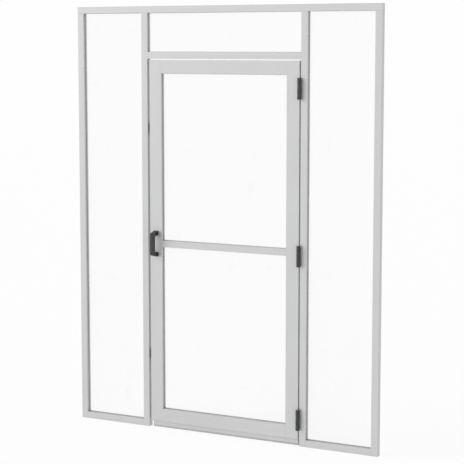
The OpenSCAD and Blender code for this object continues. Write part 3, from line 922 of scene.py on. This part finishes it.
@dataclass
class Profiles(SubAssembly):
    """The drawn aluminium profiles and flats, each with the way that it runs."""

    upright: Sequence[str] = (
        "left_stile", "left_jamb", "right_jamb", "right_stile", "lock_stile", "hinge_stile",
        "stop_plates",
    )
    level: Sequence[str] = (
        "top_rail", "header_rail", "left_bottom_rail", "right_bottom_rail", "door_top_rail",
        "door_mid_rail", "door_bottom_rail", "sweep_channel",
    )
    ends: Sequence[str] = ("top_rail_caps",)

    def build(self) -> None:
        """Dresses each profile with lines along its own run."""
        runs = ((self.upright, Run.ALONG_Z), (self.level, Run.ALONG_X), (self.ends, Run.ALONG_Y))
        for names, run in runs:
            for name in names:
                low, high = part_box(name)
                dress(name, SatinAnodised(run, tuple(low), tuple(high)))


@dataclass
class Joinery(SubAssembly):
    """Blocks, plugs, caps and screws that hold the profiles together."""

    blocks: Sequence[str] = ("frame_joint_blocks", "door_joint_blocks")
    screws: Sequence[str] = (
        "frame_joint_screws", "door_joint_screws", "stop_screws", "handle_screws",
        "sweep_screws",
    )

    def build(self) -> None:
        """Dresses blocks, plugs, caps and screws."""
        for name in self.blocks:
            dress(name, MillAluminium())
        dress("foot_plugs", Moulding(worn=0.0))
        dress("stile_end_caps", GreyMoulding())
        for name in self.screws:
            dress(name, ZincPlate())


@dataclass(frozen=True)
class Light:
    """A glazed opening, with the body that it rides on and the profile on its left."""

    name: str
    body: str
    beside: str


@dataclass
class Glazing(SubAssembly):
    """The clear sheets, and the seals that hold them in their grooves.

    Each seal is a ring with a seat for the edge of its sheet. A rounded bead on each side
    stands a little into the light.
    """

    lights: Sequence[Light] = (
        Light("left_sidelight", "frame", "left_stile"),
        Light("right_sidelight", "frame", "right_jamb"),
        Light("transom", "frame", "left_jamb"),
        Light("door_upper", "door_leaf", "lock_stile"),
        Light("door_lower", "door_leaf", "lock_stile"),
    )
    bead: float = 1.5 * MM
    bead_round: float = 1.1 * MM
    squeeze: float = 0.1 * MM

    def build(self) -> None:
        """Dresses the sheets and models the seals."""
        for light in self.lights:
            dress(f"{light.name}_panel", ClearSheet())
            self.seal(light)

    def seal(self, light: Light) -> None:
        """Models the seal of one light.

        Args:
            light: The light.
        """
        node = f"{light.name}_gasket"
        low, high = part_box(node)
        sheet_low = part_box(f"{light.name}_panel")[0]
        centre = (low + high) / 2
        base = sheet_low.x - low.x
        cheek = sheet_low.y - low.y
        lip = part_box(light.beside)[1].x - low.x + self.bead
        ring = Blank.bar(f"{light.name}_seal", low, high)
        with ring.faces(lambda c, n: abs(n.y) > FACING):
            bpy.ops.mesh.inset(thickness=lip, use_even_offset=True, use_individual=True)
            bpy.ops.mesh.bridge_edge_loops()

        def facing_light(c: Vector, n: Vector) -> bool:
            """Tells the four faces that look inwards."""
            return (centre - c).dot(n) > 0 and abs(n.y) < ALONGSIDE

        with ring.faces(facing_light):
            bpy.ops.mesh.inset(thickness=cheek + self.squeeze, use_even_offset=True)
            bpy.ops.mesh.extrude_region_shrink_fatten(
                TRANSFORM_OT_shrink_fatten={"value": base - lip, "use_even_offset": True}
            )

        def on_rim(a: Vector, b: Vector) -> bool:
            """Tells the edges round the light on the front and the back."""
            inside = all(
                low.x + lip / 2 < p.x < high.x - lip / 2
                and low.z + lip / 2 < p.z < high.z - lip / 2
                for p in (a, b)
            )
            return inside and all(min(p.y - low.y, high.y - p.y) < self.squeeze for p in (a, b))

        with ring.edges(on_rim):
            bpy.ops.mesh.bevel(offset=self.bead_round, segments=3, affect="EDGES")
        ring.finish(light.body, Seal(), node)


class Side(Enum):
    """The side of the gap that a hinge leaf is screwed to."""

    JAMB = 1
    DOOR = -1


@dataclass
class SpringHinges(SubAssembly):
    """The three self-closing hinges.

    The jamb's leaf has two short knuckles and the door's leaf has the long one, which is the
    barrel of the spring. Each leaf is a flat plate with tongues that reach to its knuckles. A
    collar with holes for a tommy bar sets the spring. One hinge is modelled and copied upwards.
    """

    height: float = 115.0 * MM
    barrel: float = 11.0 * MM
    pin_bore: float = 4.55 * MM
    spring_bore: float = 9.0 * MM
    knuckle: float = 24.0 * MM
    flange: float = 1.6 * MM
    collar: float = 8.0 * MM
    rim: float = 0.7 * MM
    gap: float = 8.0 * MM
    plate: float = 3.0 * MM
    plate_wide: float = 30.0 * MM
    plate_corner: float = 2.0 * MM
    stand_off: float = 2.0 * MM
    tongue_inset: float = 0.4 * MM
    screw: float = 2.45 * MM
    screw_head: float = 4.25 * MM
    screw_sink: float = 1.9 * MM
    screw_edge: float = 8.0 * MM
    screws: int = 4
    bar_hole: float = 1.5 * MM
    bar_hole_from: float = 6.5 * MM
    bar_holes: int = 6
    facets: int = 64
    sink_facets: int = 32
    bar_facets: int = 24
    past: float = 2.0 * MM
    plated: Sequence[str] = (
        "jamb_hinge_screws", "door_hinge_screws", "jamb_backing_plates",
        "door_backing_plates", "hinge_pins", "hinge_springs",
    )

    def foot(self) -> Vector:
        """Gives the foot of the lowest hinge, on its axis."""
        low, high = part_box("hinge_pins")
        return Vector(((low.x + high.x) / 2, (low.y + high.y) / 2, low.z))

    def lifts(self) -> tuple[float, float]:
        """Finds the heights of the other two hinges.

        Returns:
            How far the middle and the upper hinge stand above the lowest.
        """
        low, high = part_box("hinge_pins")
        top = high.z - self.height - low.z
        return top / 2, top

    def tube(self, name: str, base: float, high: float, bore: float) -> Blank:
        """Turns a tube on the axis, with its outer rims chamfered.

        Args:
            name: The piece's name.
            base: Its foot above the hinge's foot.
            high: Its height.
            bore: The radius of its bore.

        Returns:
            The tube.
        """
        foot = self.foot()
        made = Blank(
            name, bpy.ops.mesh.primitive_cylinder_add, vertices=self.facets,
            radius=self.barrel, depth=high, location=foot + Vector((0, 0, base + high / 2)),
        )
        with made.edges(lambda a, b: abs(a.z - b.z) < self.rim):
            bpy.ops.mesh.bevel(offset=self.rim, segments=2, affect="EDGES")
        with made.faces(lambda c, n: abs(n.z) > SQUARE):
            wall = self.barrel - self.rim - bore
            bpy.ops.mesh.inset(thickness=wall, use_individual=True, use_even_offset=True)
            bpy.ops.mesh.bridge_edge_loops()
        return made

    def screw_places(self) -> Iterator[tuple[float, float]]:
        """Finds the places of the screws in a leaf.

        Yields:
            How far behind the axis and how high above the foot each screw sits.
        """
        high = self.height - self.collar
        columns = (self.screw_edge, self.plate_wide - self.screw_edge)
        for i in range(self.screws):
            across = self.stand_off + self.barrel + columns[i % len(columns)]
            yield across, high * (i + 0.5) / self.screws

    def sink_tool(self, side: Side, across: float, up: float) -> Blank:
        """Makes the countersink that cuts one screw hole.

        Args:
            side: The side of the gap.
            across: How far behind the axis the hole lies.
            up: How high above the foot it lies.

        Returns:
            The tool: a cone with a shank through the plate and a neck out of its face.
        """
        face = self.gap / 2 - self.plate
        way = side.value
        middle = self.foot() + Vector((way * (face + self.screw_sink / 2), across, up))
        tool = Blank(
            "countersink", bpy.ops.mesh.primitive_cone_add, vertices=self.sink_facets,
            radius1=self.screw_head, radius2=self.screw, depth=self.screw_sink,
            location=middle, rotation=(0.0, way * math.pi / 2, 0.0),
        )
        for towards in (-way, way):
            with tool.faces(lambda c, n: n.x * towards > SQUARE):
                bpy.ops.mesh.extrude_region_move(
                    TRANSFORM_OT_translate={"value": (towards * self.past, 0.0, 0.0)}
                )
        return tool

    def leaf(
        self, name: str, side: Side, knuckles: Sequence[tuple[float, float]], bore: float
    ) -> Blank:
        """Models a leaf: plate, tongues, knuckles and countersunk holes.

        Args:
            name: The piece's name.
            side: The side of the gap that it is screwed to.
            knuckles: The foot and height of each knuckle, above the hinge's foot.
            bore: The radius of their bore.

        Returns:
            The leaf.
        """
        foot = self.foot()
        near, far = sorted(side.value * x for x in (self.gap / 2 - self.plate, self.gap / 2))
        back = self.stand_off + self.barrel
        made = Blank.bar(
            name,
            foot + Vector((near, back, 0.0)),
            foot + Vector((far, back + self.plate_wide, self.height - self.collar)),
        )
        spans = [
            (foot.z + base + self.tongue_inset, foot.z + base + high - self.tongue_inset)
            for base, high in knuckles
        ]

        def meets_knuckle(c: Vector, n: Vector) -> bool:
            """Tells the parts of the plate's near edge that lie beside a knuckle."""
            return n.y < -FACING and any(low < c.z < high for low, high in spans)

        def back_corner(a: Vector, b: Vector) -> bool:
            """Tells the edges across the plate at its far corners."""
            behind = min(a.y, b.y) > foot.y + back + self.plate_wide - NEAR
            return behind and abs(a.x - b.x) > NEAR

        with made.edges(back_corner):
            bpy.ops.mesh.bevel(offset=self.plate_corner, segments=4, affect="EDGES")
        made.slice_at(2, [z for span in spans for z in span])
        with made.faces(meets_knuckle):
            bpy.ops.mesh.extrude_region_move(
                TRANSFORM_OT_translate={"value": (0.0, bore + self.tongue_inset - back, 0.0)}
            )
        for base, high in knuckles:
            made.fuse(self.tube("knuckle", base, high, bore))
        for across, up in self.screw_places():
            made.carve(self.sink_tool(side, across, up))
        return made

    def collar_ring(self) -> Blank:
        """Models the collar at the top of a hinge, with its ring of tommy bar holes.

        Returns:
            The collar.
        """
        base = self.height - self.collar
        ring = self.tube("hinge_collar_1", base, self.collar, self.pin_bore)
        middle = self.foot() + Vector((0.0, 0.0, base + self.collar / 2))
        for i in range(self.bar_holes):
            angle = math.tau * i / self.bar_holes
            out = Vector((math.cos(angle), math.sin(angle), 0.0))
            ring.carve(Blank(
                "tommy_bar", bpy.ops.mesh.primitive_cylinder_add, vertices=self.bar_facets,
                radius=self.bar_hole, depth=self.barrel,
                location=middle + out * (self.bar_hole_from + self.barrel / 2),
                rotation=(0.0, math.pi / 2, angle),
            ))
        return ring

    def build(self) -> None:
        """Models one hinge, copies it twice and dresses what it holds."""
        long_base = self.knuckle + self.flange
        plate_high = self.height - self.collar
        jamb_knuckles = ((0.0, self.knuckle), (plate_high - self.knuckle, self.knuckle))
        door_knuckles = ((long_base, plate_high - 2 * long_base),)
        coat = PowderCoat()
        pieces = (
            (self.leaf("jamb_leaf_1", Side.JAMB, jamb_knuckles, self.pin_bore),
             "frame", "jamb_hinge_leaves"),
            (self.leaf("door_leaf_1", Side.DOOR, door_knuckles, self.spring_bore),
             "door_leaf", "door_hinge_leaves"),
            (self.collar_ring(), "frame", "hinge_collars"),
        )
        for blank, body, node in pieces:
            first = blank.finish(body, coat, node)
            for i, lift in enumerate(self.lifts(), 2):
                name = first.name.replace("_1", f"_{i}")
                repeat(first, name, lift, body, coat.slot, node)
        for name in self.plated:
            dress(name, ZincPlate())
        dress("hinge_bushes", Moulding(worn=0.0))


@dataclass
class PullHandle(SubAssembly):
    """The bridge-shaped pull on the lock stile.

    A slab is the grip. Its ends are drawn back to the leaf as feet that slope outwards, and
    its corners and long edges are rolled over.
    """

    grip: float = 14.0 * MM
    foot: float = 25.0 * MM
    slope: float = 8.0 * MM
    base: float = 3.0 * MM
    outer_bend: float = 15.0 * MM
    inner_bend: float = 10.0 * MM
    edge_round: float = 5.6 * MM
    weld: float = 0.02 * MM

    def build(self) -> None:
        """Models the pull."""
        low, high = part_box("pull_handle")
        grip_back = low.y + self.grip
        feet = (low.z + self.foot, high.z - self.foot)
        grip_ends = (low.z + self.slope, high.z - self.slope)
        pull = Blank.bar(
            "pull_grip", (low.x, low.y, grip_ends[0]), (high.x, grip_back, grip_ends[1])
        )
        pull.slice_at(2, feet)
        widen = self.foot / (self.foot - self.slope)
        for z, sign in zip(feet, (-1, 1)):

            def foot_end(c: Vector, n: Vector) -> bool:
                """Tells the face at the end of this foot."""
                return n.y > FACING and (c.z - z) * sign > 0

            for reach, taller in ((high.y - self.base - grip_back, widen), (self.base, 1.0)):
                with pull.faces(foot_end):
                    bpy.ops.mesh.extrude_region_move(
                        TRANSFORM_OT_translate={"value": (0.0, reach, 0.0)}
                    )
                    bpy.ops.transform.resize(
                        value=(1.0, 1.0, taller), center_override=(0.0, 0.0, z)
                    )

        def outer_corner(a: Vector, b: Vector) -> bool:
            """Tells the edges where the grip turns towards the leaf."""
            at_end = min(abs(a.z - z) for z in grip_ends) < NEAR and abs(a.z - b.z) < NEAR
            return at_end and max(a.y, b.y) - low.y < NEAR

        def inner_corner(a: Vector, b: Vector) -> bool:
            """Tells the edges where the grip's back meets the feet."""
            level = abs(a.z - b.z) < NEAR and min(abs(a.z - z) for z in feet) < NEAR
            return level and max(abs(p.y - grip_back) for p in (a, b)) < NEAR

        with pull.edges(outer_corner):
            bpy.ops.mesh.bevel(offset=self.outer_bend, segments=8, affect="EDGES")
        with pull.edges(inner_corner):
            bpy.ops.mesh.bevel(offset=self.inner_bend, segments=6, affect="EDGES")
        middle = (low.x + high.x) / 2

        def side_edge(a: Vector, b: Vector) -> bool:
            """Tells the long edges of both sides, apart from those on the leaf."""
            same_side = (a.x - middle) * (b.x - middle) > 0
            return same_side and min(a.y, b.y) < high.y - NEAR

        with pull.edges(side_edge):
            bpy.ops.mesh.bevel(
                offset=self.edge_round, segments=5, affect="EDGES", clamp_overlap=True
            )
        with pull.faces(lambda c, n: True):
            bpy.ops.mesh.remove_doubles(threshold=self.weld)
        plastic = ShadedPullMoulding(foot_y=high.y - self.outer_bend, grip_y=low.y)
        pull.finish("door_leaf", plastic, "pull_handle")


@dataclass
class Sweep(SubAssembly):
    """The blade under the leaf: a block held in the channel, with two thin fins below it."""

    fin: float = 2.3 * MM
    fin_tip: float = 0.7 * MM
    past: float = 5.0 * MM

    def build(self) -> None:
        """Models the blade."""
        low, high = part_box("sweep_blade")
        channel_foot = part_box("sweep_channel")[0].z
        blade = Blank.bar("sweep_fins", low, high)
        between = Blank.bar(
            "between_fins",
            (low.x - self.past, low.y + self.fin, low.z - self.past),
            (high.x + self.past, high.y - self.fin, channel_foot),
        )
        blade.carve(between)

        def tip(a: Vector, b: Vector) -> bool:
            """Tells the long lower edges of the fins."""
            return max(a.z, b.z) < low.z + self.fin_tip and abs(a.x - b.x) > NEAR

        with blade.edges(tip):
            bpy.ops.mesh.bevel(offset=self.fin_tip, segments=3, affect="EDGES")
        blade.finish("door_leaf", Seal(), "sweep_blade")


@dataclass
class StopBuffers(SubAssembly):
    """The rubber pads that the lock stile closes on."""

    corner: float = 3.0 * MM
    rim: float = 0.6 * MM
    length: float = 52.0 * MM

    def build(self) -> None:
        """Models the lower pad and copies it to the upper stop."""
        low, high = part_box("stop_buffers")
        pad = Blank.bar("stop_pad_1", low, (high.x, high.y, low.z + self.length))
        with pad.edges(lambda a, b: abs(a.y - b.y) > NEAR):
            bpy.ops.mesh.bevel(offset=self.corner, segments=4, affect="EDGES")
        with pad.faces(lambda c, n: n.y < -FACING):
            bpy.ops.mesh.bevel(offset=self.rim, segments=2, affect="EDGES")
        rubber = BlackRubber()
        first = pad.finish("frame", rubber, "stop_buffers")
        lift = high.z - low.z - self.length
        repeat(first, "stop_pad_2", lift, "frame", rubber.slot, "stop_buffers")


@dataclass
class Studio:
    """Pale floor, one wide soft lamp and a plain bright background."""

    floor_size: float = 400.0
    floor_colour: Triple = (0.95, 0.95, 0.95)
    floor_rough: float = 0.9
    dust_per_metre: float = 2.0
    dust: float = 0.01
    background: float = 0.99
    ambient: float = 0.62
    floor_glow: float = 0.80
    glow_strength: float = 1.051
    key_towards: Triple = (-0.80, -0.52, 0.32)
    key_degrees: float = 38.0  # how wide the lamp looks, which softens its shadows
    key_strength: float = 1.25

    def seen(self, g: Graph) -> Wire:
        """Tells the rays that look at the background from the rays that carry light.

        Args:
            g: The tree of the floor or the world.

        Returns:
            1 for camera, glossy and transmission rays, else 0.
        """
        rays = [
            g.node("ShaderNodeLightPath", output=name)
            for name in ("Is Camera Ray", "Is Glossy Ray", "Is Transmission Ray")
        ]
        return g.maths("MINIMUM", rays[0] + rays[1] + rays[2], 1.0)

    def floor(self) -> None:
        """Lays the floor, which keeps a pale shadow of the object."""
        bpy.ops.object.select_all(action="DESELECT")
        bpy.ops.mesh.primitive_plane_add(size=self.floor_size)
        plane = bpy.context.object
        plane.name = "floor"
        made = bpy.data.materials.new("floor")
        made.use_nodes = True
        g = Graph(made.node_tree)
        dust = g.even(self.dust_per_metre) * self.dust
        matt = g.node("ShaderNodeBsdfPrincipled", inputs={
            "Base Color": (*self.floor_colour, 1.0),
            "Roughness": self.floor_rough + dust,
        })
        glow = g.node("ShaderNodeEmission", inputs={"Strength": self.glow_strength})
        factor = self.seen(g) * self.floor_glow
        g.show(g.node("ShaderNodeMixShader", inputs={0: factor, 1: matt, 2: glow}))
        plane.data.materials.append(made)

    def world(self) -> None:
        """Sets the ambient light and the background."""
        made = bpy.data.worlds.new("studio")
        made.use_nodes = True
        g = Graph(made.node_tree, "ShaderNodeOutputWorld")
        strength = self.ambient + self.seen(g) * (self.background - self.ambient)
        inputs = {"Color": (1.0, 1.0, 1.0, 1.0), "Strength": strength}
        g.show(g.node("ShaderNodeBackground", inputs=inputs))
        bpy.context.scene.world = made

    def lamp(self) -> None:
        """Hangs a far lamp that lights the whole height of the object evenly."""
        data = bpy.data.lights.new("key", "SUN")
        data.angle = math.radians(self.key_degrees)
        data.energy = self.key_strength
        made = bpy.data.objects.new("key", data)
        bpy.context.scene.collection.objects.link(made)
        made.rotation_euler = (-Vector(self.key_towards)).to_track_quat("-Z", "Y").to_euler()

    def build(self) -> None:
        """Sets up floor, world and lamp."""
        self.floor()
        self.world()
        self.lamp()


@dataclass
class Viewpoint:
    """The camera, at the angle from which the door is seen."""

    place: Triple = (3.413, -6.897, 2.184)
    turned: float = math.radians(25.985)
    dipped: float = math.radians(6.294)
    lens: float = 108.68
    sensor: float = 36.0
    shift: float = -0.07

    def build(self) -> None:
        """Makes the scene's camera."""
        data = bpy.data.cameras.new("viewpoint")
        data.sensor_width = self.sensor
        data.lens = self.lens
        data.shift_y = self.shift
        made = bpy.data.objects.new("viewpoint", data)
        made.location = self.place
        made.rotation_euler = (math.pi / 2 - self.dipped, 0.0, self.turned)
        bpy.context.scene.collection.objects.link(made)
        bpy.context.scene.camera = made


def main() -> None:
    """Builds the view, the studio and the door."""
    logging.basicConfig(level=logging.INFO, format="%(name)s: %(message)s")
    bpy.context.scene.view_settings.view_transform = "Standard"
    Viewpoint().build()
    Studio().build()
    assemblies: list[SubAssembly] = [
        Profiles(), Joinery(), Glazing(), SpringHinges(), PullHandle(), Sweep(), StopBuffers(),
    ]
    for assembly in assemblies:
        assembly.build()


if __name__ == "__main__":
    main()
